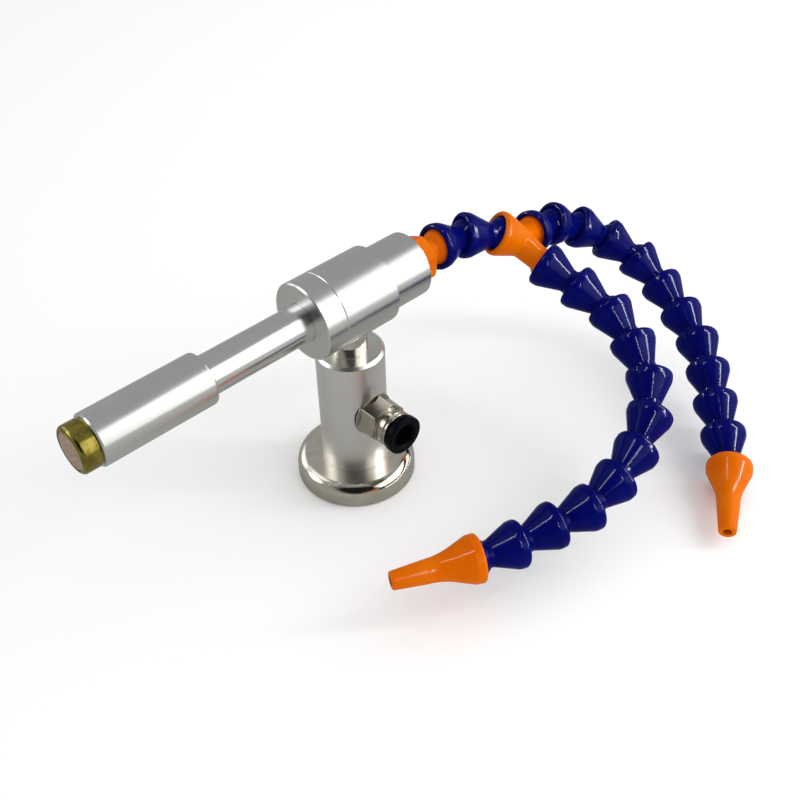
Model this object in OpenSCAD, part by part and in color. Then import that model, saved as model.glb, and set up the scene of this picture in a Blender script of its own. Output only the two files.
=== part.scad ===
// Cold-air gun: a vortex tube on a magnetic foot, with a two-branch jointed hose on its cold end.
// Millimetres. The foot's underside is z = 0, the tube lies along x (hot end at -x) and the
// air inlet faces -y.

/* [Foot and upright] */
// Outer diameter of the magnetic foot
foot_d = 53.5; // [48:0.5:70]
// Height of the foot
foot_h = 10.5; // [9:0.5:14]
// Rounding of the foot's upper edge
foot_round = 5.5; // [3:0.5:6]
// Thickness of the foot's top plate
foot_plate = 4.5; // [3:0.5:6]
// Wall round the magnet
foot_wall = 4.3; // [3:0.1:6]
// Diameter of the upright
column_d = 30; // [28:1:38]
// Height of the upright above the foot
column_h = 60; // [56:1:80]
// Polished chamfer round the upright's top
column_chamfer = 1.2; // [0.4:0.2:2]
// Height of the air inlet's axis above the table
inlet_z = 41.5; // [38:0.5:46]
// Visible height of the neck between upright and body
neck_h = 9; // [5:0.5:16]
// Diameter of the neck
neck_d = 16; // [15:0.5:18]

/* [Air fitting] */
// Outer diameter of the air tube that pushes in
tube_d = 10; // [8:1:10]
// Hexagon across its flats
hex_af = 17; // [16:0.5:19]
// Length of the hexagon
hex_l = 10.2; // [6:0.1:12]
// Diameter of the release collar's flange
collar_d = 17.8; // [16.5:0.1:20]
// Thickness of the release collar's flange
collar_t = 3.3; // [2:0.1:5]
// How far the release collar pushes in
collar_stroke = 1; // [0.6:0.1:1]

/* [Vortex tube] */
// Diameter of the body
body_d = 34; // [32:0.5:40]
// Body length on the cold side of the upright's axis
body_cold = 14.5; // [13:0.5:20]
// Body length on the hot side of the upright's axis
body_hot = 23.5; // [22:0.5:30]
// Length of the hot-end cap
cap_l = 10.5; // [9:0.5:12]
// Diameter of the reduced cold end
cold_d = 28.5; // [24:0.5:31]
// Length of the reduced cold end
cold_l = 20.5; // [15:0.5:28]
// Diameter of the polished hot tube
hot_d = 16.5; // [14:0.5:18]
// Hot tube length between cap and sleeve
hot_l = 48.5; // [30:0.5:70]
// Diameter of the hot-end sleeve
sleeve_d = 22; // [21.5:0.5:26]
// Length of the hot-end sleeve
sleeve_l = 49.5; // [46:0.5:70]
// Diameter of the brass silencer outside the sleeve
silencer_d = 19.8; // [19.2:0.1:21]
// Gap between silencer and sleeve at the present valve setting
valve_gap = 1.1; // [1:0.1:2]

/* [Hose] */
// Diameter of the balls that join the links
ball_d = 16.8; // [16:0.2:17.6]
// Distance from one ball to the next
pitch = 17.6; // [17.2:0.2:19]
// Diameter of the waist below a ball
waist_d = 11.4; // [11:0.2:11.8]
// Wall of a link's socket
socket_wall = 1.7; // [1.5:0.1:2]
// Wall of a nozzle's socket
nozzle_wall = 1.7; // [1.4:0.1:2.4]
// Ball centre to nozzle tip
nozzle_l = 34; // [28:0.5:50]
// Diameter of a nozzle's outlet hole
outlet_d = 4; // [3:0.5:5]
// Air bore of the hose
hose_bore = 7.2; // [6:0.2:8]
// Angle of each branch from the Y piece's axis
branch_angle = 44; // [42:1:48]

/* [Hidden] */
$fn = 72;
eps = 0.01;
// Named clearances: drop-in parts, threads, sliding fits and ball sockets
loose = 0.3;
thread_gap = 0.1;
slide_gap = 0.05;
ball_gap = 0.1;
// Chamfers: outer edges, small and hidden edges, and the joint line of cap and body
edge = 0.6;
fine_edge = 0.3;
hex_edge = 0.7;
joint_edge = 0.25;
// Extra depth of a blind hole
drill_over = 0.5;

nickel = [0.78, 0.76, 0.71];
alloy = [0.80, 0.80, 0.80];
brass = [0.58, 0.52, 0.22];
bronze = [0.70, 0.60, 0.48];
black = [0.05, 0.05, 0.06];
blue = [0.04, 0.05, 0.36];
orange = [1.00, 0.50, 0.02];
steel = [0.45, 0.45, 0.46];

// Foot
foot_r = foot_d / 2;
// The facing cut takes the foot's top a little below the top of its round
foot_facing = 0.12;
foot_bend = foot_h + foot_facing - foot_round;
pocket_r = foot_r - foot_wall;
pocket_h = foot_h - foot_plate;
stud_r = 4;
stud_grip = 12;
stud_hex_af = 4;
stud_hex_l = 4;

// Upright
column_r = column_d / 2;
column_top = foot_h + column_h;
inlet_flat = 2.5;
inlet_seat = column_r - inlet_flat;
seal_over = 1.3;
seal_r = hex_af / 2 + seal_over;
seal_t = 0.5;
washer_over = 0.1;
washer_t = 1;
air_r = 4;
inlet_bore_r = 3.5;
port_r = 6.5;
port_l = 8.5;
neck_r = neck_d / 2;
nipple_r = 6.5;
nipple_grip = 8;

// Fitting, measured outwards from its seat
hex_end = seal_t + hex_l;
shoulder_l = 0.8;
groove_l = 1.2;
ring_l = 2.5;
line_l = 0.5;
rim_l = 1.3;
shoulder_step = 0.4;
groove_step = 1;
ring_step = 0.1;
line_step = 0.6;
hex_turn = 15;
fit_end = hex_end + shoulder_l + groove_l + ring_l + line_l + rim_l;
stop_z = 2;
seal_in = 8;
seal_z = fit_end - seal_in;
seal_w = 2;
grab_in = 5;
grab_z = fit_end - grab_in;
grab_t = 0.4;
grab_slots = 8;
grab_slot_w = 0.6;
grab_slot_l = 0.9;
lip_in = 1.6;
lip_z = fit_end - lip_in;
tube_r = tube_d / 2;
cavity_r = tube_r + seal_w;
tube_way = tube_r + thread_gap;
skirt_w = 1.2;
skirt_r = tube_r + skirt_w;
skirt_z = grab_z + grab_t + collar_stroke + thread_gap;
flange_gap = 0.2;
flange_z = fit_end + collar_stroke + flange_gap;
barb_h = 0.5;
mouth_bevel = 1;

// Vortex tube, measured along x
body_r = body_d / 2;
axis_z = column_top + neck_h + body_r;
split_x = cap_l - body_hot;
cap_x = -body_hot;
cold_x = body_cold + cold_l;
cold_r = cold_d / 2;
chamber_r = 11;
chamber_end = 6;
seat_depth = 2.5;
generator_x = -6;
orifice_t = 1.5;
orifice_r = 2.8;
cold_bore_r = 4.5;
spigot_r = chamber_r - thread_gap;
generator_end = chamber_end - orifice_t;
generator_gap = 0.2;
spin_w = 1.2;
spin_h = 2;
spin_in = 1.4;
cap_seal_r = 1;
cap_seal_back = 3.6;
cap_seal_x = generator_x - cap_seal_back;
cap_groove_w = 2.2;
hot_r = hot_d / 2;
hot_bore_r = 5.5;
tube_stop_back = 1.5;
tube_stop = split_x - tube_stop_back;
sleeve_x = cap_x - hot_l;
sleeve_r = sleeve_d / 2;
sleeve_round = 1;
sleeve_end = sleeve_x - sleeve_l;
tube_seat = 15;
throat_x = sleeve_x - tube_seat;
throat_l = 4;
throat_r = 4.6;
throat_end = throat_x - throat_l;
barrel_r = 9.25;

// Valve and silencer, measured along x
knob_r = silencer_d / 2;
knob_round = 1.7;
knob_l = 6.9;
knob_x = sleeve_end - valve_gap;
knob_end = knob_x - knob_l;
shell_r = barrel_r - slide_gap;
shell_l = 10.5;
web_x = sleeve_end + shell_l;
web_t = 3;
disc_r = 7.9;
disc_t = 6;
disc_in = 0.1;
shell_bore_r = 6.4;
stem_r = 3;
stem_groove_r = 2.2;
stem_tail = 1.2;
stem_flange = 1.5;
clip_r = 4.4;
clip_t = 0.8;
clip_gap = 0.1;
cone_slope = 0.64;
cone_tip_r = 2;
cone_big_r = 6;
cone_shut = 0.1;
cone_set = throat_r - (valve_gap - cone_shut) * cone_slope;
cone_tip_x = throat_end + (cone_set - cone_tip_r) / cone_slope;
cone_big_x = cone_tip_x - (cone_big_r - cone_tip_r) / cone_slope;
hole_count = 6;
web_hole_at = 5.9;
web_hole_r = 1;

// Hose link, measured from the centre of its socket
ball_r = ball_d / 2;
socket_r = ball_r + ball_gap;
hose_r = socket_r + socket_wall;
throat = hose_bore / 2;
waist_r = waist_d / 2;
waist_drop = 7.8;
waist_at = pitch - waist_drop;
lip_round = 1.8;
lip_at = -4.7;
mouth_l = 1.2;
mouth_flare = 0.7;
shoulder_in = 0.1;
shoulder_r = hose_r - shoulder_in;
shoulder_at = -0.6;
shoulder_round = 5;
ball_end = sqrt(ball_r * ball_r - waist_r * waist_r);

// Where a link's wall and cone run into the round of its shoulder
wall_tilt = atan(shoulder_in / (shoulder_at - lip_at - lip_round));
cone_tilt = atan((shoulder_r - waist_r) / (waist_at - shoulder_at));
blend_l = shoulder_round * tan((cone_tilt - wall_tilt) / 2);
blend_low = [shoulder_r + blend_l * sin(wall_tilt), shoulder_at - blend_l * cos(wall_tilt)];
blend_high = [shoulder_r - blend_l * sin(cone_tilt), shoulder_at + blend_l * cos(cone_tilt)];
blend_at = blend_low - shoulder_round * [cos(wall_tilt), sin(wall_tilt)];
blend_over = 1.2;

// Connector, measured from the cold end's face
conn_hex_af = 18;
conn_hex_l = 7.8;
conn_turn = 5;
conn_grip = 11;
conn_r = 8;
conn_cone_r = 8;
conn_reach = 11.2;
conn_ball = conn_hex_l + conn_reach;

// Y piece, measured from the centre of its socket
fork_at = 8;
fork_shoulder = -1.5;
fork_r = 7.2;
arm_r = 6.5;
arm_root = 1;
arm_l = 19;
fork_edge_r = 6.6;
fork_edge_at = fork_at + 2.3;
fork_roll = 6;

// Nozzle
nozzle_r = socket_r + nozzle_wall;
nozzle_lip = -3.5;
nozzle_round = 1.2;
nozzle_shoulder = 0.5;
flare_tilt = 21;
flare_round = 32;
stem_wide = 5;
tip_r = 3.9;
tip_round = 0.8;

// Hose route: for each link the compass turn from +x and the slope, in degrees. The slopes are
// eased so that the rear nozzle's socket just clears the table whatever the upright's height.
trunk_turn = [0, -20, -30];
trunk_slope = [-10, -15, -30];
rear_turn = [5, -15, -35, -60, -85, -105, -115, -125, -130, -130, -135, -145];
rear_slope = [-15, -25, -30, -30, -30, -20, -15, -15, -15, -15, -10, -5];
front_turn = [-75, -80, -100, -115, -140, -160, -170, -180, -195, -195, -200, -205];
front_slope = [-20, -20, -25, -25, -25, -20, -10, -10, -5, -5, 0, 0];
table_gap = 1.5;

function unit(turn, slope) = [cos(turn) * cos(slope), sin(turn) * cos(slope), sin(slope)];
function side(turn) = [-sin(turn), cos(turn), 0];
function lift(turn, slope) = [-cos(turn) * sin(slope), -sin(turn) * sin(slope), cos(slope)];
function climb(slopes, n) = n == 0 ? 0 : sin(slopes[n - 1]) + climb(slopes, n - 1);

y_unit = unit(trunk_turn[2], trunk_slope[2]);
y_side = cos(fork_roll) * side(trunk_turn[2]) + sin(fork_roll) * lift(trunk_turn[2], trunk_slope[2]);
rear_arm = cos(branch_angle) * y_unit + sin(branch_angle) * y_side;
front_arm = cos(branch_angle) * y_unit - sin(branch_angle) * y_side;
rear_step = fork_at * y_unit + arm_l * rear_arm;
front_step = fork_at * y_unit + arm_l * front_arm;
fall = nozzle_r + table_gap - axis_z - rear_step[2];
ease = fall / (pitch * (climb(trunk_slope, 2) + climb(rear_slope, 11)));

function eased(slope) = asin(ease * sin(slope));
function walk(start, turns, slopes, n) =
    n == 0 ? start
           : walk(start, turns, slopes, n - 1) + pitch * unit(turns[n - 1], eased(slopes[n - 1]));

hose_start = [cold_x + conn_ball, 0, axis_z];
y_at = walk(hose_start, trunk_turn, trunk_slope, 2);
rear_start = y_at + rear_step;
front_start = y_at + front_step;

// Shared shapes

// Round bar along z with a chamfer at each end
module bar(r, a, b, ca, cb) {
    rotate_extrude()
        polygon([[0, a], [r - ca, a], [r, a + ca], [r, b - cb], [r - cb, b], [0, b]]);
}

// Round bar along z with both end edges rounded
module soft_bar(r, a, b, e) {
    rotate_extrude() {
        translate([0, a + e]) square([r, b - a - 2 * e]);
        translate([0, a]) square([r - e, b - a]);
        translate([r - e, a + e]) circle(e);
        translate([r - e, b - e]) circle(e);
    }
}

// Plain bore along z
module bore(r, a, b) {
    translate([0, 0, a]) cylinder(r = r, h = b - a);
}

// Ring along z
module ring(ro, ri, a, b) {
    difference() {
        bore(ro, a, b);
        bore(ri, a - 1, b + 1);
    }
}

// Hexagonal bar along z with its corners turned down at the outer end
module hex_bar(af, a, b) {
    corner = af / sqrt(3);
    intersection() {
        translate([0, 0, a]) cylinder(r = corner, h = b - a, $fn = 6);
        bar(corner + eps, a, b, eps, hex_edge);
    }
}

module o_ring(mid_r, sec_r) {
    rotate_extrude() translate([mid_r, 0]) circle(sec_r);
}

module along_x() {
    translate([0, 0, axis_z]) rotate([0, 90, 0]) children();
}

module at_inlet() {
    translate([0, -inlet_seat, inlet_z]) rotate([90, 0, 0]) children();
}

// Sends local z along a link's direction
module aim(at, turn, slope) {
    translate(at) rotate([0, 90 - slope, turn]) children();
}

// Half section of a socket's outside, from its rounded lip to its shoulder
module bell_section(r, lip, e, shoulder) {
    translate([r - e, lip + e]) circle(e);
    polygon([[0, lip], [r - e, lip], [r, lip + e], [r - shoulder_in, shoulder], [0, shoulder]]);
}

// Half section of the room for a ball, with the mouth's chamfer running into the round
module socket_section(lip) {
    mouth = lip + mouth_l;
    mouth_r = sqrt(socket_r * socket_r - mouth * mouth);
    intersection() {
        circle(socket_r);
        translate([0, lip]) square([socket_r, 2 * socket_r]);
    }
    polygon([[0, lip - mouth_l], [mouth_r + 2 * mouth_flare, lip - mouth_l],
             [mouth_r - mouth_flare, mouth + mouth_l], [0, mouth + mouth_l]]);
}

// Half section of a ball whose centre is at the given height
module ball_section(at) {
    intersection() {
        translate([0, at]) circle(ball_r);
        translate([0, at - ball_r]) square([ball_r, ball_r + ball_end]);
    }
}

module link() {
    rotate_extrude() difference() {
        union() {
            translate([hose_r - lip_round, lip_at + lip_round]) circle(lip_round);
            polygon([[0, lip_at], [hose_r - lip_round, lip_at], [hose_r, lip_at + lip_round],
                     blend_low, blend_high, [waist_r, waist_at], [0, waist_at]]);
            intersection() {
                translate(blend_at) circle(shoulder_round);
                polygon([for (p = [blend_at, blend_low, [shoulder_r, shoulder_at], blend_high])
                         blend_at + blend_over * (p - blend_at)]);
            }
            square([waist_r, pitch]);
            ball_section(pitch);
        }
        socket_section(lip_at);
        translate([0, -1]) square([throat, pitch + ball_r + 2]);
    }
}

module rear_link(i) {
    aim(walk(rear_start, rear_turn, rear_slope, i), rear_turn[i], eased(rear_slope[i])) children();
}

module front_link(i) {
    aim(walk(front_start, front_turn, front_slope, i), front_turn[i], eased(front_slope[i])) children();
}

module trunk_link(i) {
    aim(walk(hose_start, trunk_turn, trunk_slope, i), trunk_turn[i], eased(trunk_slope[i])) children();
}

// One arm of the Y piece: a taper, a waist and a ball
module arm_solid() {
    rotate_extrude() {
        polygon([[0, arm_root], [arm_r, arm_root], [waist_r, arm_l - waist_drop], [waist_r, arm_l],
                 [0, arm_l]]);
        ball_section(arm_l);
    }
}

// Sends local z along one branch of the Y piece. Callers spin what they place there, so that the
// two branches' seams never lie in one plane.
module branch(s) {
    translate([0, 0, fork_at]) rotate([0, s * branch_angle, 0]) children();
}

module nozzle() {
    foot = nozzle_r - shoulder_in;
    flare_end = nozzle_shoulder
        + (flare_round - (stem_wide + flare_round - foot) * cos(flare_tilt)) / sin(flare_tilt);
    rotate_extrude() difference() {
        union() {
            bell_section(nozzle_r, nozzle_lip, nozzle_round, nozzle_shoulder);
            difference() {
                translate([0, nozzle_shoulder - eps]) square([foot, flare_end - nozzle_shoulder + eps]);
                translate([stem_wide + flare_round, flare_end]) circle(flare_round);
                polygon([[foot, nozzle_shoulder],
                         [stem_wide + flare_round * (1 - cos(flare_tilt)),
                          flare_end - flare_round * sin(flare_tilt)],
                         [stem_wide + flare_round, flare_end], [stem_wide + flare_round, nozzle_shoulder]]);
            }
            polygon([[0, flare_end - edge], [stem_wide - edge, flare_end - edge], [stem_wide, flare_end],
                     [tip_r, nozzle_l - tip_round], [tip_r - tip_round, nozzle_l], [0, nozzle_l]]);
            translate([tip_r - tip_round, nozzle_l - tip_round]) circle(tip_round);
        }
        socket_section(nozzle_lip);
        polygon([[0, 0], [throat, 0], [throat, socket_r], [outlet_d / 2, flare_end],
                 [outlet_d / 2, nozzle_l + 1], [0, nozzle_l + 1]]);
    }
}

// Foot and upright

module base_cup() {
    color(nickel) difference() {
        rotate_extrude() {
            polygon([[0, 0], [foot_r - edge, 0], [foot_r, edge], [foot_r, foot_bend], [0, foot_bend]]);
            square([foot_r - foot_round, foot_h]);
            intersection() {
                translate([foot_r - foot_round, foot_bend]) circle(foot_round);
                square([foot_r, foot_h]);
            }
        }
        bore(pocket_r, -1, pocket_h);
        bore(stud_r + thread_gap, 0, foot_h + 1);
    }
}

module magnet() {
    color(steel) bar(pocket_r - loose, 0, pocket_h, fine_edge, fine_edge);
}

module base_stud() {
    color(steel) difference() {
        bar(stud_r, pocket_h, foot_h + stud_grip, fine_edge, edge);
        translate([0, 0, foot_h + stud_grip - stud_hex_l])
            cylinder(r = stud_hex_af / sqrt(3), h = stud_hex_l + 1, $fn = 6);
    }
}

module column() {
    color(alloy) difference() {
        bar(column_r, foot_h, column_top, fine_edge, column_chamfer);
        bore(stud_r + thread_gap, foot_h - 1, foot_h + stud_grip + drill_over);
        bore(air_r, inlet_z - air_r, column_top);
        bore(nipple_r + thread_gap, column_top - nipple_grip - drill_over, column_top + 1);
        at_inlet() {
            bore(seal_r + loose, 0, column_r);
            bore(port_r + thread_gap, -port_l - drill_over, 1);
            bore(inlet_bore_r, -inlet_seat, 0);
        }
    }
}

module neck_nipple() {
    seat = axis_z - body_r + seat_depth;
    color(nickel) difference() {
        union() {
            bar(nipple_r, column_top - nipple_grip, column_top + 1, edge, eps);
            bar(neck_r, column_top, seat, fine_edge, fine_edge);
            bar(nipple_r, seat - 1, axis_z - chamber_r - drill_over, eps, fine_edge);
        }
        bore(air_r, 0, axis_z);
    }
}

// Air fitting

module fitting_seal() {
    color(black) at_inlet() ring(seal_r, port_r + loose, 0, seal_t);
}

module fitting_body() {
    z1 = hex_end + shoulder_l;
    z2 = z1 + groove_l;
    z3 = z2 + ring_l;
    z4 = z3 + line_l;
    r = hex_af / 2;
    color(nickel) at_inlet() difference() {
        union() {
            bar(port_r, -port_l, seal_t + 1, edge, eps);
            bar(seal_r + washer_over, seal_t, seal_t + washer_t, fine_edge, fine_edge);
            rotate(hex_turn) hex_bar(hex_af, seal_t + washer_t - eps, hex_end);
            bore(r - shoulder_step, hex_end - 1, z1);
            bore(r - groove_step, z1 - eps, z2 + eps);
            bar(r - ring_step, z2, z3, fine_edge, fine_edge);
            bore(r - line_step, z3 - eps, z4 + eps);
            bar(r, z4, fit_end, fine_edge, fine_edge);
        }
        bore(inlet_bore_r, -port_l - 1, fit_end);
        bore(tube_way, stop_z, fit_end);
        bore(cavity_r, seal_z, grab_z);
        bore(cavity_r + loose, grab_z - eps, lip_z);
        bore(skirt_r + slide_gap, lip_z - 1, fit_end + 1);
    }
}

module tube_seal() {
    sec = (cavity_r - tube_way - 2 * slide_gap) / 2;
    color(black) at_inlet() translate([0, 0, seal_z + sec]) o_ring(tube_way + slide_gap + sec, sec);
}

module grab_ring() {
    color(steel) at_inlet() difference() {
        ring(cavity_r + loose - slide_gap, tube_way + slide_gap, grab_z, grab_z + grab_t);
        for (k = [0 : grab_slots - 1])
            rotate(k * 360 / grab_slots) translate([0, -grab_slot_w / 2, grab_z - 1])
                cube([tube_way + grab_slot_l, grab_slot_w, grab_t + 2]);
    }
}

module release_collar() {
    end = flange_z + collar_t;
    color(black) at_inlet() difference() {
        union() {
            bar(skirt_r, skirt_z, flange_z + 1, fine_edge, eps);
            bar(skirt_r + barb_h, skirt_z + fine_edge, lip_z - thread_gap, fine_edge, eps);
            soft_bar(collar_d / 2, flange_z, end, edge);
        }
        bore(tube_way + slide_gap, skirt_z - 1, end + 1);
        rotate_extrude()
            polygon([[0, end - mouth_bevel], [tube_way, end - mouth_bevel],
                     [tube_way + mouth_bevel + eps, end + eps], [0, end + eps]]);
    }
}

// Vortex tube

module main_body() {
    color(alloy) difference() {
        along_x() difference() {
            union() {
                bar(body_r, split_x, body_cold, joint_edge, edge);
                bar(cold_r, body_cold - 1, cold_x, eps, edge);
            }
            bore(chamber_r, split_x - 1, chamber_end);
            bore(cold_bore_r, chamber_end - 1, cold_x);
            bore(conn_r + thread_gap, cold_x - conn_grip - drill_over, cold_x + 1);
        }
        bore(neck_r + thread_gap, column_top, axis_z - body_r + seat_depth);
        bore(nipple_r + thread_gap, column_top, axis_z - chamber_r + 2);
    }
}

module hot_cap() {
    color(alloy) along_x() difference() {
        union() {
            bar(body_r, cap_x, split_x, edge, joint_edge);
            bar(spigot_r, split_x - 1, generator_x, eps, fine_edge);
        }
        ring(spigot_r + 1, chamber_r - 2 * cap_seal_r, cap_seal_x - cap_groove_w / 2,
             cap_seal_x + cap_groove_w / 2);
        bore(hot_r + thread_gap, cap_x - 1, tube_stop);
        bore(hot_bore_r, tube_stop - 1, generator_x + 1);
    }
}

module cap_seal() {
    color(black) along_x() translate([0, 0, cap_seal_x])
        o_ring(chamber_r - cap_seal_r, cap_seal_r - slide_gap);
}

module vortex_generator() {
    flange = 1.5;
    wide = chamber_r - generator_gap;
    slim = chamber_r - 2.4;
    mid = (generator_x + generator_end) / 2;
    color(brass) along_x() difference() {
        union() {
            bore(slim, generator_x, generator_end);
            bore(wide, generator_x, generator_x + flange);
            bore(wide, generator_end - flange, generator_end);
        }
        bore(hot_bore_r, generator_x - 1, generator_end + 1);
        for (k = [0 : hole_count - 1])
            rotate(k * 360 / hole_count)
                translate([hot_bore_r - spin_in, 0, mid - spin_h / 2]) cube([spin_w, slim, spin_h]);
    }
}

module cold_orifice() {
    color(steel) along_x() ring(chamber_r - generator_gap, orifice_r, generator_end, chamber_end);
}

module hot_tube() {
    color(alloy) along_x() ring(hot_r, hot_bore_r, throat_x, tube_stop);
}

module hot_sleeve() {
    color(alloy) along_x() difference() {
        union() {
            soft_bar(sleeve_r, sleeve_end + 2 * sleeve_round, sleeve_x, sleeve_round);
            bar(sleeve_r, sleeve_end, sleeve_end + 4 * sleeve_round, edge, eps);
        }
        bore(hot_r + thread_gap, throat_x, sleeve_x + 1);
        bore(throat_r, throat_end - 1, throat_x + 1);
        bore(barrel_r, sleeve_end - 1, throat_end);
    }
}

module valve_cone() {
    shoulder = web_x + web_t + clip_gap;
    tail = web_x - clip_gap;
    color(brass) along_x() difference() {
        union() {
            rotate_extrude()
                polygon([[0, cone_big_x], [cone_big_r, cone_big_x], [cone_tip_r, cone_tip_x],
                         [0, cone_tip_x]]);
            bar(cone_big_r, cone_big_x - 3, cone_big_x + eps, 1, eps);
            bar(stem_r - slide_gap, tail - clip_t - stem_tail, cone_big_x, fine_edge, eps);
            bar(stem_r + stem_flange, shoulder, shoulder + 2, fine_edge, fine_edge);
        }
        ring(stem_r + 1, stem_groove_r, tail - clip_t - clip_gap, tail + slide_gap);
    }
}

module stem_clip() {
    tail = web_x - clip_gap;
    color(steel) along_x() ring(clip_r, stem_groove_r + slide_gap, tail - clip_t, tail);
}

module silencer_body() {
    color(brass) along_x() difference() {
        union() {
            rotate_extrude() {
                translate([0, knob_end + knob_round]) square([knob_r, knob_l - knob_round]);
                translate([0, knob_end]) square([knob_r - knob_round, knob_round + eps]);
                translate([knob_r - knob_round, knob_end + knob_round]) circle(knob_round);
            }
            bar(shell_r, knob_x - 1, web_x + web_t, eps, fine_edge);
        }
        bore(disc_r + slide_gap, knob_end - 1, knob_end + disc_t);
        bore(shell_bore_r, knob_end, web_x);
        bore(stem_r, web_x - 1, web_x + web_t + 1);
        for (k = [0 : hole_count - 1])
            rotate(k * 360 / hole_count) translate([web_hole_at, 0, 0])
                bore(web_hole_r, web_x - 1, web_x + web_t + 1);
    }
}

module silencer_disc() {
    color(bronze) along_x() bar(disc_r, knob_end + disc_in, knob_end + disc_t, fine_edge, disc_in);
}

// Hose

module hose_connector() {
    color(orange) translate([cold_x, 0, axis_z]) rotate([0, 90, 0]) difference() {
        union() {
            bar(conn_r, -conn_grip, eps, edge, eps);
            rotate(conn_turn) hex_bar(conn_hex_af, 0, conn_hex_l);
            rotate_extrude() {
                polygon([[0, conn_hex_l - 1], [conn_cone_r, conn_hex_l - 1], [conn_cone_r, conn_hex_l],
                         [waist_r, conn_ball - waist_drop], [waist_r, conn_ball], [0, conn_ball]]);
                ball_section(conn_ball);
            }
        }
        bore(throat, -conn_grip - 1, conn_ball + ball_r);
    }
}

module hose_y() {
    color(orange) aim(y_at, trunk_turn[2], trunk_slope[2]) rotate(90 + fork_roll) difference() {
        union() {
            rotate_extrude() {
                bell_section(hose_r, lip_at, lip_round, fork_shoulder);
                polygon([[0, fork_shoulder - eps], [shoulder_r, fork_shoulder - eps],
                         [shoulder_r, fork_shoulder], [fork_edge_r, fork_edge_at], [0, fork_edge_at]]);
                intersection() {
                    translate([0, fork_at]) circle(fork_r);
                    translate([0, fork_at]) square([fork_r, fork_r]);
                }
            }
            for (s = [1, -1])
                branch(s) rotate(65 + 20 * s) arm_solid();
        }
        rotate_extrude() socket_section(lip_at);
        for (s = [1, -1])
            branch(s) rotate(20 + 13 * s) bore(throat, -1, arm_l + ball_r);
    }
}

module trunk_1() { color(blue) trunk_link(0) link(); }
module trunk_2() { color(blue) trunk_link(1) link(); }
module front_1() { color(blue) front_link(0) link(); }
module front_2() { color(blue) front_link(1) link(); }
module front_3() { color(blue) front_link(2) link(); }
module front_4() { color(blue) front_link(3) link(); }
module front_5() { color(blue) front_link(4) link(); }
module front_6() { color(blue) front_link(5) link(); }
module front_7() { color(blue) front_link(6) link(); }
module front_8() { color(blue) front_link(7) link(); }
module front_9() { color(blue) front_link(8) link(); }
module front_10() { color(blue) front_link(9) link(); }
module front_11() { color(blue) front_link(10) link(); }
module nozzle_front() { color(orange) front_link(11) nozzle(); }
module rear_1() { color(blue) rear_link(0) link(); }
module rear_2() { color(blue) rear_link(1) link(); }
module rear_3() { color(blue) rear_link(2) link(); }
module rear_4() { color(blue) rear_link(3) link(); }
module rear_5() { color(blue) rear_link(4) link(); }
module rear_6() { color(blue) rear_link(5) link(); }
module rear_7() { color(blue) rear_link(6) link(); }
module rear_8() { color(blue) rear_link(7) link(); }
module rear_9() { color(blue) rear_link(8) link(); }
module rear_10() { color(blue) rear_link(9) link(); }
module rear_11() { color(blue) rear_link(10) link(); }
module nozzle_rear() { color(orange) rear_link(11) nozzle(); }

base_cup();
magnet();
base_stud();
column();
fitting_seal();
fitting_body();
tube_seal();
grab_ring();
release_collar();
neck_nipple();
main_body();
hot_cap();
cap_seal();
vortex_generator();
cold_orifice();
hot_tube();
hot_sleeve();
valve_cone();
stem_clip();
silencer_body();
silencer_disc();
hose_connector();
trunk_1();
trunk_2();
hose_y();
front_1();
front_2();
front_3();
front_4();
front_5();
front_6();
front_7();
front_8();
front_9();
front_10();
front_11();
nozzle_front();
rear_1();
rear_2();
rear_3();
rear_4();
rear_5();
rear_6();
rear_7();
rear_8();
rear_9();
rear_10();
rear_11();
nozzle_rear();
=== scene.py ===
"""Looks of a vortex tube cold-air gun on a magnetic foot.

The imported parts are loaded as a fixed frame. Each sub-assembly dresses its own parts with
procedural finishes, and the studio adds a pale floor, soft light and the camera. Lengths are
in metres, and the grains and lines of a texture are counted to the metre.
"""
from __future__ import annotations

import logging
import math
from abc import ABC, abstractmethod
from dataclasses import dataclass
from enum import Enum
from typing import Any, Sequence

import bpy
from mathutils import Matrix, Vector

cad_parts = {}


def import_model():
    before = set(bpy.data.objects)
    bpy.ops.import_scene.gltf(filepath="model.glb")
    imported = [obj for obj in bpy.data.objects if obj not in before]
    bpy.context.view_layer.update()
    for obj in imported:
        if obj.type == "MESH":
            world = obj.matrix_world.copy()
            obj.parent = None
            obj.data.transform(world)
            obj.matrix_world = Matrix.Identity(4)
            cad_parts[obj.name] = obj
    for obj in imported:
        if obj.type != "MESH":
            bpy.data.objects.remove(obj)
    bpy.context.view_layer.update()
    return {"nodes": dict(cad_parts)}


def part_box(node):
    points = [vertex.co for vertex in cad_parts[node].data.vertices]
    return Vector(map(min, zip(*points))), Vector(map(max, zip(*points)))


LOG = logging.getLogger("cold_air_gun")
MM = 0.001
MICRON = 0.001 * MM
Colour = tuple[float, float, float]
Point = tuple[float, float, float]
Span = tuple[float, float]
WHOLE: Span = (0.0, 1.0)


class Axis(Enum):
    """The way a turned piece's axis runs."""

    X = "X"
    Y = "Y"
    Z = "Z"


@dataclass(frozen=True)
class Grain:
    """How fine a noise is: its grains, its finer layers and their strength."""

    per_metre: float
    detail: float = 3.0
    rough: float = 0.55


def shaded(colour: Colour, share: float) -> Colour:
    """Gives a darker or lighter colour."""
    return tuple(min(1.0, part * share) for part in colour)


def stand(right: Vector, up: Vector, back: Vector, place: Sequence[float]) -> Matrix:
    """Gives the pose of a camera or light from its three directions and its place."""
    return Matrix.Translation(place) @ Matrix((right, up, back)).transposed().to_4x4()


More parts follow.
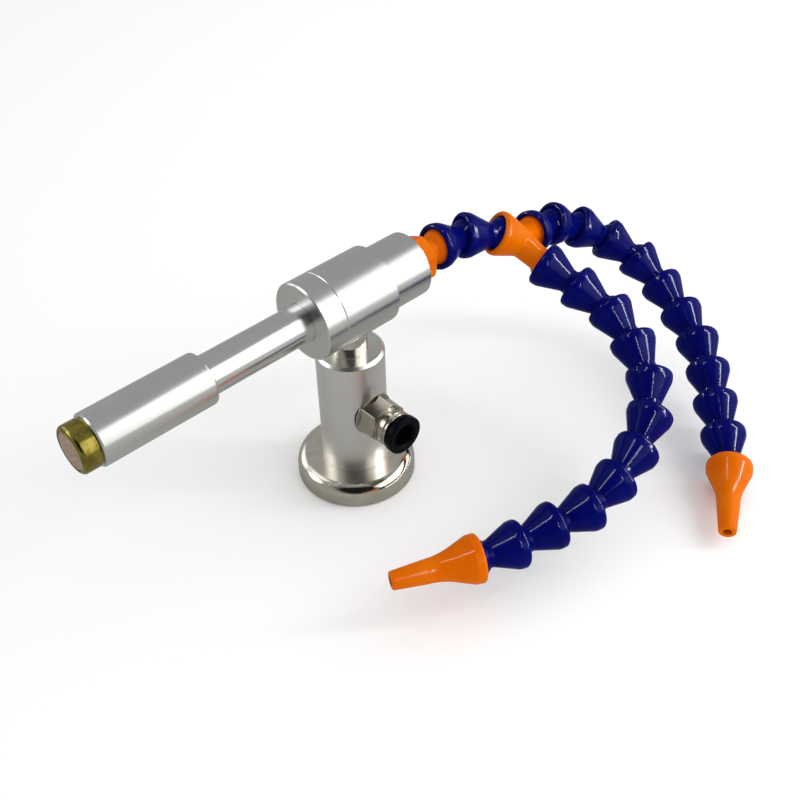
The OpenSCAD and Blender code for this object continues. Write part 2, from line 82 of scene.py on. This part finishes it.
class Tree:
    """Builds a shader node tree, of a material or of the room."""

    # The mix node's colour sockets go by number, because its socket names repeat.
    MIX_FIRST = 6
    MIX_SECOND = 7
    MIX_RESULT = 2

    def __init__(self, tree: bpy.types.NodeTree) -> None:
        """Empties the tree and adds the coordinates.

        Args:
            tree: the tree to build in.
        """
        self.tree = tree
        tree.nodes.clear()
        self.coords = self.node("ShaderNodeTexCoord")

    def node(self, kind: str, **settings: Any) -> bpy.types.Node:
        """Adds a node.

        Args:
            kind: Blender's name for the node type.
            settings: properties to set on it.

        Returns:
            The node.
        """
        made = self.tree.nodes.new(kind)
        for key, setting in settings.items():
            setattr(made, key, setting)
        return made

    def fill(self, node: bpy.types.Node, **values: Any) -> None:
        """Sets plain values on a node's inputs, named with underscores for spaces."""
        for key, number in values.items():
            node.inputs[key.replace("_", " ")].default_value = number

    def join(self, source: bpy.types.NodeSocket, target: bpy.types.NodeSocket) -> None:
        """Links an output to an input."""
        self.tree.links.new(source, target)

    def put(self, target: bpy.types.NodeSocket, what: Any) -> None:
        """Links an output to an input, or sets the input to a plain value.

        Args:
            target: the input.
            what: an output socket or a plain value.
        """
        if isinstance(what, bpy.types.NodeSocket):
            self.join(what, target)
        else:
            target.default_value = what

    def math(self, operation: str, first: Any, second: Any = 0.0) -> bpy.types.NodeSocket:
        """Adds a maths node.

        Args:
            operation: Blender's name for the operation.
            first: an output socket or a number.
            second: an output socket or a number.

        Returns:
            The result's socket.
        """
        made = self.node("ShaderNodeMath", operation=operation)
        self.put(made.inputs[0], first)
        self.put(made.inputs[1], second)
        return made.outputs[0]

    def add(self, first: Any, *others: Any) -> bpy.types.NodeSocket:
        """Adds up numbers.

        Args:
            first: an output socket or a number.
            others: the sockets or numbers to add to it.

        Returns:
            The sum's socket.
        """
        for other in others:
            first = self.math("ADD", first, other)
        return first

    def ramp(self, factor: bpy.types.NodeSocket, over: Span,
             to: Span = WHOLE) -> bpy.types.NodeSocket:
        """Maps a factor's span to a span of numbers, without going past its ends.

        Args:
            factor: the socket to map.
            over: the factor's span.
            to: the numbers at the span's two ends.

        Returns:
            The mapped number's socket.
        """
        made = self.node("ShaderNodeMapRange", clamp=True)
        self.join(factor, made.inputs["Value"])
        self.fill(made, From_Min=over[0], From_Max=over[1], To_Min=to[0], To_Max=to[1])
        return made.outputs["Result"]

    def blend(self, factor: bpy.types.NodeSocket, first: Any, second: Any) -> bpy.types.NodeSocket:
        """Mixes two colours.

        Args:
            factor: the share of the second one.
            first: a colour or its socket.
            second: a colour or its socket.

        Returns:
            The mixed colour's socket.
        """
        made = self.node("ShaderNodeMix", data_type="RGBA")
        self.join(factor, made.inputs["Factor"])
        for place, colour in ((self.MIX_FIRST, first), (self.MIX_SECOND, second)):
            linked = isinstance(colour, bpy.types.NodeSocket)
            self.put(made.inputs[place], colour if linked else (*colour, 1.0))
        return made.outputs[self.MIX_RESULT]


class Graph(Tree):
    """Builds the node tree of one material round a principled shader."""

    RING_DETAIL = 4.0
    RING_ROUGH = 0.7
    EDGE_SAMPLES = 4

    def __init__(self, name: str) -> None:
        """Makes an empty material.

        Args:
            name: the material's name.
        """
        self.material = bpy.data.materials.new(name)
        self.material.use_nodes = True
        super().__init__(self.material.node_tree)
        self.shader = self.node("ShaderNodeBsdfPrincipled")
        out = self.node("ShaderNodeOutputMaterial")
        self.join(self.shader.outputs["BSDF"], out.inputs["Surface"])

    def constant(self, **values: Any) -> None:
        """Sets plain values on the shader, named with underscores for spaces."""
        self.fill(self.shader, **values)

    def feed(self, name: str, source: bpy.types.NodeSocket) -> None:
        """Links an output to one of the shader's inputs."""
        self.join(source, self.shader.inputs[name])

    def noise(self, grain: Grain) -> bpy.types.NodeSocket:
        """Adds noise that stays on the piece as it moves.

        Args:
            grain: how fine it is.

        Returns:
            The noise's factor.
        """
        made = self.node("ShaderNodeTexNoise")
        self.fill(made, Scale=grain.per_metre, Detail=grain.detail, Roughness=grain.rough)
        self.join(self.coords.outputs["Object"], made.inputs["Vector"])
        return made.outputs["Fac"]

    def rings(self, centre: Point, axis: Axis, per_metre: float) -> bpy.types.NodeSocket:
        """Adds the fine lines that a lathe leaves: round a barrel and as rings on an end face.

        Args:
            centre: a point on the piece's axis.
            axis: the way that axis runs.
            per_metre: how many lines fit in a metre.

        Returns:
            The lines' factor.
        """
        shift = self.node("ShaderNodeVectorMath", operation="SUBTRACT")
        self.join(self.coords.outputs["Object"], shift.inputs[0])
        shift.inputs[1].default_value = centre
        split = self.node("ShaderNodeSeparateXYZ")
        self.join(shift.outputs["Vector"], split.inputs["Vector"])
        along = split.outputs[axis.value]
        across = [split.outputs[other.value] for other in Axis if other is not axis]
        squares = [self.math("MULTIPLY", side, side) for side in across]
        radius = self.math("SQRT", self.add(*squares))
        made = self.node("ShaderNodeTexNoise", noise_dimensions="1D")
        self.fill(made, Scale=per_metre, Detail=self.RING_DETAIL, Roughness=self.RING_ROUGH)
        self.join(self.add(along, radius), made.inputs["W"])
        return made.outputs["Fac"]

    def facing(self, axis: Axis) -> bpy.types.NodeSocket:
        """Gives how squarely the surface faces along an axis, from 0 to 1.

        Args:
            axis: the axis.

        Returns:
            The number's socket.
        """
        split = self.node("ShaderNodeSeparateXYZ")
        self.join(self.coords.outputs["Normal"], split.inputs["Vector"])
        return self.math("ABSOLUTE", split.outputs[axis.value])

    def soften(self, radius: float) -> None:
        """Lets sharp edges catch the light, as edges that were broken by hand do.

        Args:
            radius: the broken edge's radius.
        """
        made = self.node("ShaderNodeBevel", samples=self.EDGE_SAMPLES)
        self.fill(made, Radius=radius)
        self.feed("Normal", made.outputs["Normal"])

    def bump(self, height: bpy.types.NodeSocket, depth: float, strength: float = 1.0) -> None:
        """Adds relief to the shader's normal, over any that it has.

        Args:
            height: the relief's factor.
            depth: its full depth.
            strength: the share of it that shows.
        """
        made = self.node("ShaderNodeBump")
        self.fill(made, Strength=strength, Distance=depth)
        self.join(height, made.inputs["Height"])
        under = self.shader.inputs["Normal"]
        if under.is_linked:
            self.join(under.links[0].from_socket, made.inputs["Normal"])
        self.join(made.outputs["Normal"], under)


# In the finishes below, a name that ends in TONE holds the span of a texture over which the
# colour changes. One that ends in WEAR holds such a span for the roughness, and what the
# texture adds to it at the span's two ends.


@dataclass(frozen=True)
class Finish(ABC):
    """A surface finish that makes its own material."""

    name: str
    colour: Colour

    def material(self) -> bpy.types.Material:
        """Builds the finish.

        Returns:
            The material.
        """
        graph = Graph(self.name)
        self.paint(graph)
        return graph.material

    @abstractmethod
    def paint(self, graph: Graph) -> None:
        """Lays the finish out in its material's tree."""


@dataclass(frozen=True)
class TurnedMetal(Finish):
    """Metal off the lathe, satin or bright, with fine rings and faint handling marks."""

    roughness: float
    face_roughness: float
    centre: Point
    axis: Axis
    ring_depth: float = 0.1 * MICRON
    anisotropy: float = 0.6
    polished_slope: bool = False

    FINE_LINES = 5200.0
    BROAD_LINES = 420.0
    MARKS = Grain(95.0, 5.0, 0.65)
    SHADE = 0.955
    TONE = (0.3, 0.7)
    FINE_WEAR = (0.3, 0.7), (-0.015, 0.015)
    BROAD_WEAR = (0.35, 0.65), (-0.008, 0.008)
    MARK_WEAR = (0.35, 0.7), (-0.012, 0.016)
    QUARTER_TURN = 0.25
    # How squarely an end face, and the two borders of a chamfer, face along the axis.
    END_FACE = (0.5, 0.95)
    SLOPE_START = (0.2, 0.45)
    SLOPE_END = (0.8, 0.97)
    SLOPE_SHINE = 0.3

    def paint(self, graph: Graph) -> None:
        """Lays out the rings, the marks and the sheen that runs round the piece.

        Args:
            graph: the material's tree.
        """
        graph.constant(Metallic=1.0, Anisotropic=self.anisotropy,
                       Anisotropic_Rotation=self.QUARTER_TURN)
        tangent = graph.node("ShaderNodeTangent", direction_type="RADIAL", axis=self.axis.value)
        graph.feed("Tangent", tangent.outputs["Tangent"])
        rings = graph.rings(self.centre, self.axis, self.FINE_LINES)
        broad = graph.rings(self.centre, self.axis, self.BROAD_LINES)
        marks = graph.noise(self.MARKS)
        mean = graph.math("DIVIDE", graph.add(rings, marks), 2.0)
        graph.feed("Base Color", graph.blend(graph.ramp(mean, self.TONE),
                                             shaded(self.colour, self.SHADE), self.colour))
        facing = graph.facing(self.axis)
        rough = graph.ramp(facing, self.END_FACE, (self.roughness, self.face_roughness))
        if self.polished_slope:
            slope = graph.math("MULTIPLY", graph.ramp(facing, self.SLOPE_START),
                               graph.ramp(facing, self.SLOPE_END, (1.0, 0.0)))
            shine = graph.math("MULTIPLY", slope, self.roughness * self.SLOPE_SHINE)
            rough = graph.math("SUBTRACT", rough, shine)
        graph.feed("Roughness", graph.add(rough, graph.ramp(rings, *self.FINE_WEAR),
                                          graph.ramp(broad, *self.BROAD_WEAR),
                                          graph.ramp(marks, *self.MARK_WEAR)))
        graph.bump(rings, self.ring_depth)


@dataclass(frozen=True)
class PlatedMetal(Finish):
    """Bright nickel plate, a little uneven, duller where a face is flat."""

    roughness: float
    centre: Point
    axis: Axis
    face_roughness: float = 0.1
    broken_edge: float = 0.3 * MM

    SMEAR = Grain(140.0, 5.0, 0.6)
    SPECKS = Grain(2400.0, 2.0)
    LINES = 2600.0
    SHADE = 0.86
    SMEAR_TONE = (0.35, 0.65)
    SMEAR_WEAR = (0.35, 0.75), (-0.02, 0.05)
    SPECK_WEAR = (0.6, 0.75), (0.0, 0.05)
    # How squarely a flat face faces along the axis.
    FLAT_FACE = (0.983, 0.998)
    LINE_DEPTH = 0.1 * MICRON
    SMEAR_DEPTH = 6.0 * MICRON

    def paint(self, graph: Graph) -> None:
        """Lays out the plate's smears, specks and broken edges.

        Args:
            graph: the material's tree.
        """
        graph.constant(Metallic=1.0)
        graph.soften(self.broken_edge)
        smear = graph.noise(self.SMEAR)
        graph.feed("Base Color", graph.blend(graph.ramp(smear, self.SMEAR_TONE),
                                             shaded(self.colour, self.SHADE), self.colour))
        flat = graph.ramp(graph.facing(self.axis), self.FLAT_FACE,
                          (self.roughness, self.face_roughness))
        graph.feed("Roughness", graph.add(flat, graph.ramp(smear, *self.SMEAR_WEAR),
                                          graph.ramp(graph.noise(self.SPECKS), *self.SPECK_WEAR)))
        graph.bump(graph.rings(self.centre, self.axis, self.LINES), self.LINE_DEPTH)
        graph.bump(smear, self.SMEAR_DEPTH)


@dataclass(frozen=True)
class PolishedBrass(Finish):
    """Polished brass with smears and a few dark spots of tarnish."""

    tarnish: Colour
    roughness: float
    centre: Point
    axis: Axis

    SMEAR = Grain(170.0, 5.0, 0.62)
    SPOTS = Grain(520.0)
    LINES = 3200.0
    SPOT_SHADE = 0.45
    SMEAR_TONE = (0.38, 0.66)
    SPOT_TONE = (0.62, 0.74)
    SPOT_COVER = (0.0, 0.8)
    SMEAR_SPAN = (0.35, 0.7)
    SMEAR_ROUGHER = 0.12
    LINE_WEAR = (0.3, 0.7), (-0.02, 0.03)
    LINE_DEPTH = 0.5 * MICRON
    SMEAR_DEPTH = 14.0 * MICRON

    def paint(self, graph: Graph) -> None:
        """Lays out the smears, the spots and the lathe's lines.

        Args:
            graph: the material's tree.
        """
        graph.constant(Metallic=1.0)
        smear = graph.noise(self.SMEAR)
        spots = graph.ramp(graph.noise(self.SPOTS), self.SPOT_TONE, self.SPOT_COVER)
        rings = graph.rings(self.centre, self.axis, self.LINES)
        toned = graph.blend(graph.ramp(smear, self.SMEAR_TONE), self.colour, self.tarnish)
        graph.feed("Base Color", graph.blend(spots, toned, shaded(self.tarnish, self.SPOT_SHADE)))
        rough = graph.ramp(smear, self.SMEAR_SPAN,
                           (self.roughness, self.roughness + self.SMEAR_ROUGHER))
        graph.feed("Roughness", graph.add(rough, graph.ramp(rings, *self.LINE_WEAR)))
        graph.bump(rings, self.LINE_DEPTH)
        graph.bump(smear, self.SMEAR_DEPTH)


@dataclass(frozen=True)
class PorousBronze(Finish):
    """Sintered bronze: small beads pressed together, matt and grainy, with painted shade in the
    pits between the beads and a painted lit copy of its colour in the grain.
    """

    # The colour of the painted shade in the pits between the beads.
    pit_shade: Colour

    BEADS = 2100.0
    GRAIN = Grain(900.0, 4.0)
    # LIT_SHADE makes a painted lit copy of the colour, which the grain mixes in.
    LIT_SHADE = 1.3
    GRAIN_TONE = (0.35, 0.7)
    PIT_TONE = (0.25, 0.8)
    BEAD_RISE = (0.0, 0.8), (1.0, 0.0)
    BEAD_DEPTH = 120.0 * MICRON
    BEAD_STRENGTH = 0.8

    def paint(self, graph: Graph) -> None:
        """Lays out the beads, with painted shade in the pits between them, and a grain that mixes
        in a painted lit copy of the colour.

        Args:
            graph: the material's tree.
        """
        graph.constant(Metallic=0.35, Roughness=0.72)
        beads = graph.node("ShaderNodeTexVoronoi", feature="F1")
        graph.fill(beads, Scale=self.BEADS)
        graph.join(graph.coords.outputs["Object"], beads.inputs["Vector"])
        distance = beads.outputs["Distance"]
        # Painted light: the grain mixes the colour with a lighter, painted lit copy.
        painted_lit_grain = graph.blend(graph.ramp(graph.noise(self.GRAIN), self.GRAIN_TONE),
                             self.colour, shaded(self.colour, self.LIT_SHADE))
        # Painted shade: the pit colour darkens the space between the beads.
        graph.feed("Base Color", graph.blend(graph.ramp(distance, self.PIT_TONE), painted_lit_grain, self.pit_shade))
        graph.bump(graph.ramp(distance, *self.BEAD_RISE), self.BEAD_DEPTH, self.BEAD_STRENGTH)


@dataclass(frozen=True)
class MouldedPlastic(Finish):
    """Glossy moulded plastic with a faint flow pattern and orange-peel skin; the flow pattern mixes
    its colour with a painted lit copy of it.
    """

    # A painted lit copy of the colour: a lighter tone that stands in for light.
    lit: Colour
    roughness: float
    scatter: float = 0.0
    gloss: float = 0.5

    FLOW = Grain(60.0, 4.0, 0.6)
    SKIN = Grain(900.0, 2.0)
    DUST = Grain(4200.0, 1.0)
    FLOW_TONE = (0.3, 0.72)
    FLOW_SPAN = (0.3, 0.7)
    FLOW_SMOOTHER = 0.03
    FLOW_ROUGHER = 0.05
    DUST_WEAR = (0.66, 0.8), (0.0, 0.12)
    SKIN_DEPTH = 3.0 * MICRON
    FLOW_DEPTH = 12.0 * MICRON
    SCATTER_SHARES = (1.0, 0.35, 0.12)
    SCATTER_DEPTH = 2.0 * MM

    def paint(self, graph: Graph) -> None:
        """Lays out the flow pattern, which mixes in the painted lit copy of the colour, the skin
        and a little dust.

        Args:
            graph: the material's tree.
        """
        graph.constant(Metallic=0.0, Specular_IOR_Level=self.gloss)
        if self.scatter > 0:
            graph.constant(Subsurface_Weight=self.scatter, Subsurface_Radius=self.SCATTER_SHARES,
                           Subsurface_Scale=self.SCATTER_DEPTH)
        flow = graph.noise(self.FLOW)
        dust = graph.ramp(graph.noise(self.DUST), *self.DUST_WEAR)
        # Painted light: the flow pattern blends the colour towards its painted lit copy.
        graph.feed("Base Color", graph.blend(graph.ramp(flow, self.FLOW_TONE),
                                             self.colour, self.lit))
        rough = graph.ramp(flow, self.FLOW_SPAN, (self.roughness - self.FLOW_SMOOTHER,
                                                  self.roughness + self.FLOW_ROUGHER))
        graph.feed("Roughness", graph.add(rough, dust))
        graph.bump(graph.noise(self.SKIN), self.SKIN_DEPTH)
        graph.bump(flow, self.FLOW_DEPTH)


@dataclass(frozen=True)
class SoftRubber(Finish):
    """Plain black seal rubber with a dry bloom."""

    BLOOM = Grain(260.0, 5.0)
    GRIT = Grain(2600.0)
    PALE_SHADE = 2.2
    BLOOM_TONE = (0.4, 0.75)
    BLOOM_ROUGHNESS = (0.3, 0.7), (0.5, 0.75)
    GRIT_DEPTH = 8.0 * MICRON

    def paint(self, graph: Graph) -> None:
        """Lays out the bloom and the grit.

        Args:
            graph: the material's tree.
        """
        graph.constant(Metallic=0.0)
        bloom = graph.noise(self.BLOOM)
        graph.feed("Base Color", graph.blend(graph.ramp(bloom, self.BLOOM_TONE), self.colour,
                                             shaded(self.colour, self.PALE_SHADE)))
        graph.feed("Roughness", graph.ramp(bloom, *self.BLOOM_ROUGHNESS))
        graph.bump(graph.noise(self.GRIT), self.GRIT_DEPTH)


@dataclass
class SubAssembly(ABC):
    """Parts that belong together on the bench."""

    nodes: dict[str, bpy.types.Object]

    @abstractmethod
    def dress(self) -> None:
        """Puts the finishes on the parts."""

    def coat(self, finish: Finish, *parts: str) -> None:
        """Gives parts a finish.

        Args:
            finish: the finish.
            parts: the names of the parts that take it.
        """
        material = finish.material()
        for part in parts:
            mesh = self.nodes[part].data
            mesh.materials.clear()
            mesh.materials.append(material)
            LOG.info("%s: %s", part, finish.name)

    def middle(self, part: str) -> Point:
        """Gives the middle of a part's box."""
        low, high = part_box(part)
        return tuple((a + b) / 2 for a, b in zip(low, high))


@dataclass
class Foot(SubAssembly):
    """The plated magnetic foot and the upright on it."""

    nickel: Colour = (0.86, 0.81, 0.71)
    alloy: Colour = (0.92, 0.91, 0.88)
    steel: Colour = (0.36, 0.36, 0.37)

    def dress(self) -> None:
        """Puts the finishes on the foot, its magnet and stud, and the upright."""
        upright = self.middle("column")
        self.coat(PlatedMetal("foot_nickel", self.nickel, roughness=0.06,
                              centre=self.middle("base_cup"), axis=Axis.Z,
                              face_roughness=0.2, broken_edge=0.05 * MM), "base_cup")
        self.coat(TurnedMetal("upright_satin", self.alloy, roughness=0.34, face_roughness=0.24,
                              centre=upright, axis=Axis.Z, anisotropy=0.35), "column")
        self.coat(PlatedMetal("neck_nickel", self.nickel, roughness=0.08, centre=upright,
                              axis=Axis.Z), "neck_nipple")
        self.coat(TurnedMetal("bare_steel", self.steel, roughness=0.4, face_roughness=0.35,
                              centre=upright, axis=Axis.Z), "magnet", "base_stud")


@dataclass
class AirFitting(SubAssembly):
    """The push-in fitting that takes the air tube."""

    nickel: Colour = (0.53, 0.49, 0.41)
    collar: Colour = (0.0015, 0.0018, 0.003)
    # A painted lit copy of the collar's black, a lighter tone that stands in for light.
    collar_lit: Colour = (0.003, 0.0036, 0.006)
    rubber: Colour = (0.01, 0.01, 0.011)
    steel: Colour = (0.45, 0.45, 0.46)

    def dress(self) -> None:
        """Puts the finishes on the fitting and on all seals."""
        centre = self.middle("fitting_body")
        self.coat(PlatedMetal("fitting_nickel", self.nickel, roughness=0.08, centre=centre,
                              axis=Axis.Y, face_roughness=0.14, broken_edge=0.55 * MM),
                  "fitting_body")
        self.coat(MouldedPlastic("collar_black", self.collar, self.collar_lit, roughness=0.3,
                                 gloss=0.06), "release_collar")
        self.coat(SoftRubber("seal_rubber", self.rubber), "fitting_seal", "tube_seal", "cap_seal")
        self.coat(TurnedMetal("spring_steel", self.steel, roughness=0.25, face_roughness=0.25,
                              centre=centre, axis=Axis.Y), "grab_ring")


@dataclass
class VortexTube(SubAssembly):
    """The body, hot tube and sleeve with what they hold."""

    alloy: Colour = (0.80, 0.80, 0.79)
    bright: Colour = (0.84, 0.84, 0.83)
    brass: Colour = (0.43, 0.35, 0.07)
    tarnish: Colour = (0.19, 0.15, 0.03)
    bronze: Colour = (0.50, 0.38, 0.28)
    # The painted shade in the bronze's pits.
    pit_shade: Colour = (0.20, 0.13, 0.09)
    steel: Colour = (0.45, 0.45, 0.46)

    def dress(self) -> None:
        """Puts the finishes on the body, the hot end and the valve."""
        centre = self.middle("main_body")
        self.coat(TurnedMetal("body_alloy", self.alloy, roughness=0.24, face_roughness=0.3,
                              centre=centre, axis=Axis.X, polished_slope=True),
                  "main_body", "hot_cap", "hot_sleeve")
        self.coat(TurnedMetal("hot_tube_polished", self.bright, roughness=0.17,
                              face_roughness=0.22, centre=centre, axis=Axis.X,
                              ring_depth=0.06 * MICRON, anisotropy=0.5), "hot_tube")
        self.coat(PolishedBrass("valve_brass", self.brass, self.tarnish, roughness=0.1,
                                centre=centre, axis=Axis.X),
                  "silencer_body", "valve_cone", "vortex_generator")
        self.coat(PorousBronze("silencer_bronze", self.bronze, self.pit_shade), "silencer_disc")
        self.coat(TurnedMetal("inner_steel", self.steel, roughness=0.3, face_roughness=0.3,
                              centre=centre, axis=Axis.X), "cold_orifice", "stem_clip")


@dataclass
class JointedHose(SubAssembly):
    """The forked hose of ball-jointed links."""

    # The _lit colours are painted lit copies of the blue and the orange, lighter tones that stand
    # in for light.
    blue: Colour = (0.001, 0.002, 0.085)
    blue_lit: Colour = (0.001, 0.003, 0.115)
    orange: Colour = (0.64, 0.11, 0.0005)
    orange_lit: Colour = (0.70, 0.155, 0.001)
    fork_grain: float = 0.35 * MM
    fork_flow: float = 0.5
    fork_rounds: int = 10

    LINK_NAMES = ("trunk", "front", "rear")
    ROUND_ORANGES = ("hose_y", "nozzle_front", "nozzle_rear")

    def dress(self) -> None:
        """Puts the finishes on the links and the orange pieces, and eases the fork."""
        self.coat(MouldedPlastic("hose_blue", self.blue, self.blue_lit, roughness=0.1,
                                 gloss=0.055), *self.links())
        self.coat(MouldedPlastic("hose_orange", self.orange, self.orange_lit, roughness=0.13,
                                 scatter=0.03, gloss=0.045),
                  "hose_connector", *self.ROUND_ORANGES)
        self.ease_fork()

    def links(self) -> list[str]:
        """Gives the names of the blue links."""
        return [name for name in self.nodes if name.split("_")[0] in self.LINK_NAMES]

    def glossy(self) -> list[bpy.types.Object]:
        """Gives the round pieces, which show streaks of light."""
        return [self.nodes[name] for name in (*self.links(), *self.ROUND_ORANGES)]

    def ease_fork(self) -> None:
        """Lets the fork's arms flow into its bell, as a moulded piece does."""
        fork = self.nodes["hose_y"]
        grain = fork.modifiers.new("even_grain", "REMESH")
        grain.mode = "VOXEL"
        grain.voxel_size = self.fork_grain
        grain.use_smooth_shade = True
        flow = fork.modifiers.new("flow", "SMOOTH")
        flow.factor = self.fork_flow
        flow.iterations = self.fork_rounds
        LOG.info("hose_y: arms eased into the bell")


@dataclass(frozen=True)
class Panel:
    """A soft patch of the room, lit or dark, that shows in polished metal.

    Its core and its fading rim are given as angles round its direction, in degrees.
    """

    towards: Point
    core: float
    fade: float
    strength: float

    def over(self, room: Tree, level: Any) -> bpy.types.NodeSocket:
        """Lays the patch over the room.

        Args:
            room: the room's tree.
            level: the brightness under it, a socket or a number.

        Returns:
            The brightness with the patch.
        """
        near = room.node("ShaderNodeVectorMath", operation="DOT_PRODUCT")
        room.join(room.coords.outputs["Generated"], near.inputs[0])
        near.inputs[1].default_value = Vector(self.towards).normalized()
        rim, middle = (math.cos(math.radians(angle)) for angle in (self.fade, self.core))
        share = room.ramp(near.outputs["Value"], (rim, middle))
        rise = room.math("SUBTRACT", self.strength, level)
        return room.add(level, room.math("MULTIPLY", share, rise))


@dataclass(frozen=True)
class SoftBox:
    """A soft box that looks at the gun, with its size in metres and its power in watts.

    One that is for the hose only shows as a streak on the hose's round pieces.
    """

    name: str
    place: Point
    size: tuple[float, float]
    power: float
    hose_only: bool = False
    rise: Point = (0.0, 0.0, 1.0)

    def light(self, target: Point, hose: Sequence[bpy.types.Object]) -> None:
        """Makes the light.

        Args:
            target: the point that it looks at.
            hose: the hose's round pieces.
        """
        data = bpy.data.lights.new(self.name, "AREA")
        data.shape = "RECTANGLE"
        data.size, data.size_y = self.size
        data.energy = self.power
        lamp = bpy.data.objects.new(self.name, data)
        back = (Vector(self.place) - Vector(target)).normalized()
        right = Vector(self.rise).cross(back).normalized()
        lamp.matrix_world = stand(right, back.cross(right), back, self.place)
        bpy.context.collection.objects.link(lamp)
        if self.hose_only:
            lit = bpy.data.collections.new(self.name + "_lights")
            for piece in hose:
                lit.objects.link(piece)
            lamp.light_linking.receiver_collection = lit
            lamp.visible_diffuse = False


@dataclass
class Studio:
    """A pale floor, soft light and the camera, which has its angles in degrees."""

    azimuth: float = -41.82
    elevation: float = 41.91
    roll: float = -1.5
    distance: float = 542.8 * MM
    slide_right: float = 20.01 * MM
    slide_up: float = 29.96 * MM
    focal_px: float = 1169.63
    image_px: float = 800.0
    sensor_mm: float = 36.0
    near_clip: float = 0.01
    floor_half: float = 3.0
    floor_drop: float = 0.2 * MM
    floor_seen: Colour = (0.98, 0.98, 0.98)
    floor_mirrored: Colour = (0.38, 0.38, 0.366)
    plain_light: float = 0.84
    mirror_tint: Colour = (0.985, 1.0, 1.0)
    grey: float = 0.34
    panels: tuple[Panel, ...] = (
        Panel((-0.2, 0.9, 0.34), core=10.0, fade=22.0, strength=1.4),
        Panel((-0.28, 0.55, 0.78), core=7.0, fade=18.0, strength=1.2),
        Panel((-0.68, 0.56, 0.48), core=8.0, fade=18.0, strength=2.6),
        Panel((-0.5, -0.56, 0.66), core=24.0, fade=40.0, strength=0.01),
    )
    target: Point = (0.02, -0.02, 0.07)
    boxes: tuple[SoftBox, ...] = (
        SoftBox("window_wall", (0.63, -0.63, 0.50), (1.6, 1.2), power=6.3),
        SoftBox("window_strip", (0.52, -0.50, 0.55), (0.07, 0.45), power=1.2),
        SoftBox("hose_bright", (0.60, -0.66, 0.60), (0.10, 1.10), power=38.0, hose_only=True,
                rise=(0.10, 0.72, 0.68)),
        SoftBox("hose_edge", (-0.25, -0.70, 0.72), (0.045, 0.50), power=6.5, hose_only=True),
        SoftBox("hose_pane", (0.15, -0.88, 0.50), (0.75, 0.50), power=2.9, hose_only=True),
        SoftBox("hose_top", (-0.32, 0.10, 1.05), (0.07, 0.45), power=6.5, hose_only=True,
                rise=(1.0, 0.0, 0.0)),
        SoftBox("hose_back", (-0.30, 0.80, 0.52), (0.24, 0.14), power=6.5, hose_only=True),
    )

    def camera(self) -> None:
        """Makes the camera at the photograph's angle."""
        azimuth, elevation, roll = (
            math.radians(angle) for angle in (self.azimuth, self.elevation, self.roll))
        back = Vector((math.sin(azimuth) * math.cos(elevation),
                       -math.cos(azimuth) * math.cos(elevation), math.sin(elevation)))
        level = Vector((math.cos(azimuth), math.sin(azimuth), 0.0))
        rise = back.cross(level)
        right = math.cos(roll) * level + math.sin(roll) * rise
        up = math.cos(roll) * rise - math.sin(roll) * level
        data = bpy.data.cameras.new("camera")
        data.sensor_width = self.sensor_mm
        data.lens = self.focal_px / self.image_px * self.sensor_mm
        data.clip_start = self.near_clip
        camera = bpy.data.objects.new("camera", data)
        place = right * self.slide_right + up * self.slide_up + back * self.distance
        camera.matrix_world = stand(right, up, back, place)
        bpy.context.collection.objects.link(camera)
        bpy.context.scene.camera = camera

    def floor(self) -> None:
        """Makes the floor, which metal sees darker than the camera does, as a table in a room."""
        mesh = bpy.data.meshes.new("floor")
        half = self.floor_half
        rim = [(-half, -half, 0.0), (half, -half, 0.0), (half, half, 0.0), (-half, half, 0.0)]
        mesh.from_pydata(rim, [], [(0, 1, 2, 3)])
        floor = bpy.data.objects.new("floor", mesh)
        floor.location.z = -self.floor_drop
        bpy.context.collection.objects.link(floor)
        graph = Graph("floor_paper")
        graph.constant(Roughness=0.9, Specular_IOR_Level=0.1)
        path = graph.node("ShaderNodeLightPath")
        graph.feed("Base Color", graph.blend(path.outputs["Is Glossy Ray"],
                                             self.floor_seen, self.floor_mirrored))
        mesh.materials.append(graph.material)

    def room(self) -> None:
        """Makes the room: white for plain light, grey with soft panels where metal mirrors it."""
        world = bpy.data.worlds.new("room")
        world.use_nodes = True
        room = Tree(world.node_tree)
        plain = room.node("ShaderNodeBackground")
        room.fill(plain, Color=(1.0, 1.0, 1.0, 1.0), Strength=self.plain_light)
        mirror = room.node("ShaderNodeBackground")
        room.fill(mirror, Color=(*self.mirror_tint, 1.0))
        level: Any = self.grey
        for panel in self.panels:
            level = panel.over(room, level)
        room.put(mirror.inputs["Strength"], level)
        path = room.node("ShaderNodeLightPath")
        mix = room.node("ShaderNodeMixShader")
        room.join(path.outputs["Is Glossy Ray"], mix.inputs["Fac"])
        room.join(plain.outputs["Background"], mix.inputs[1])
        room.join(mirror.outputs["Background"], mix.inputs[2])
        out = room.node("ShaderNodeOutputWorld")
        room.join(mix.outputs["Shader"], out.inputs["Surface"])
        bpy.context.scene.world = world

    def build(self, hose: Sequence[bpy.types.Object]) -> None:
        """Makes everything round the gun.

        Args:
            hose: the hose's round pieces, which have lights of their own to shine by.
        """
        self.camera()
        self.floor()
        self.room()
        for box in self.boxes:
            box.light(self.target, hose)
        bpy.context.scene.view_settings.view_transform = "Standard"


def main() -> None:
    """Dresses the gun and builds the studio round it."""
    logging.basicConfig(level=logging.INFO, format="%(name)s: %(message)s")
    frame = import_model()
    nodes = frame["nodes"]
    hose = JointedHose(nodes)
    for assembly in (Foot(nodes), AirFitting(nodes), VortexTube(nodes), hose):
        assembly.dress()
        LOG.info("dressed %s", type(assembly).__name__)
    Studio().build(hose.glossy())


if __name__ == "__main__":
    main()
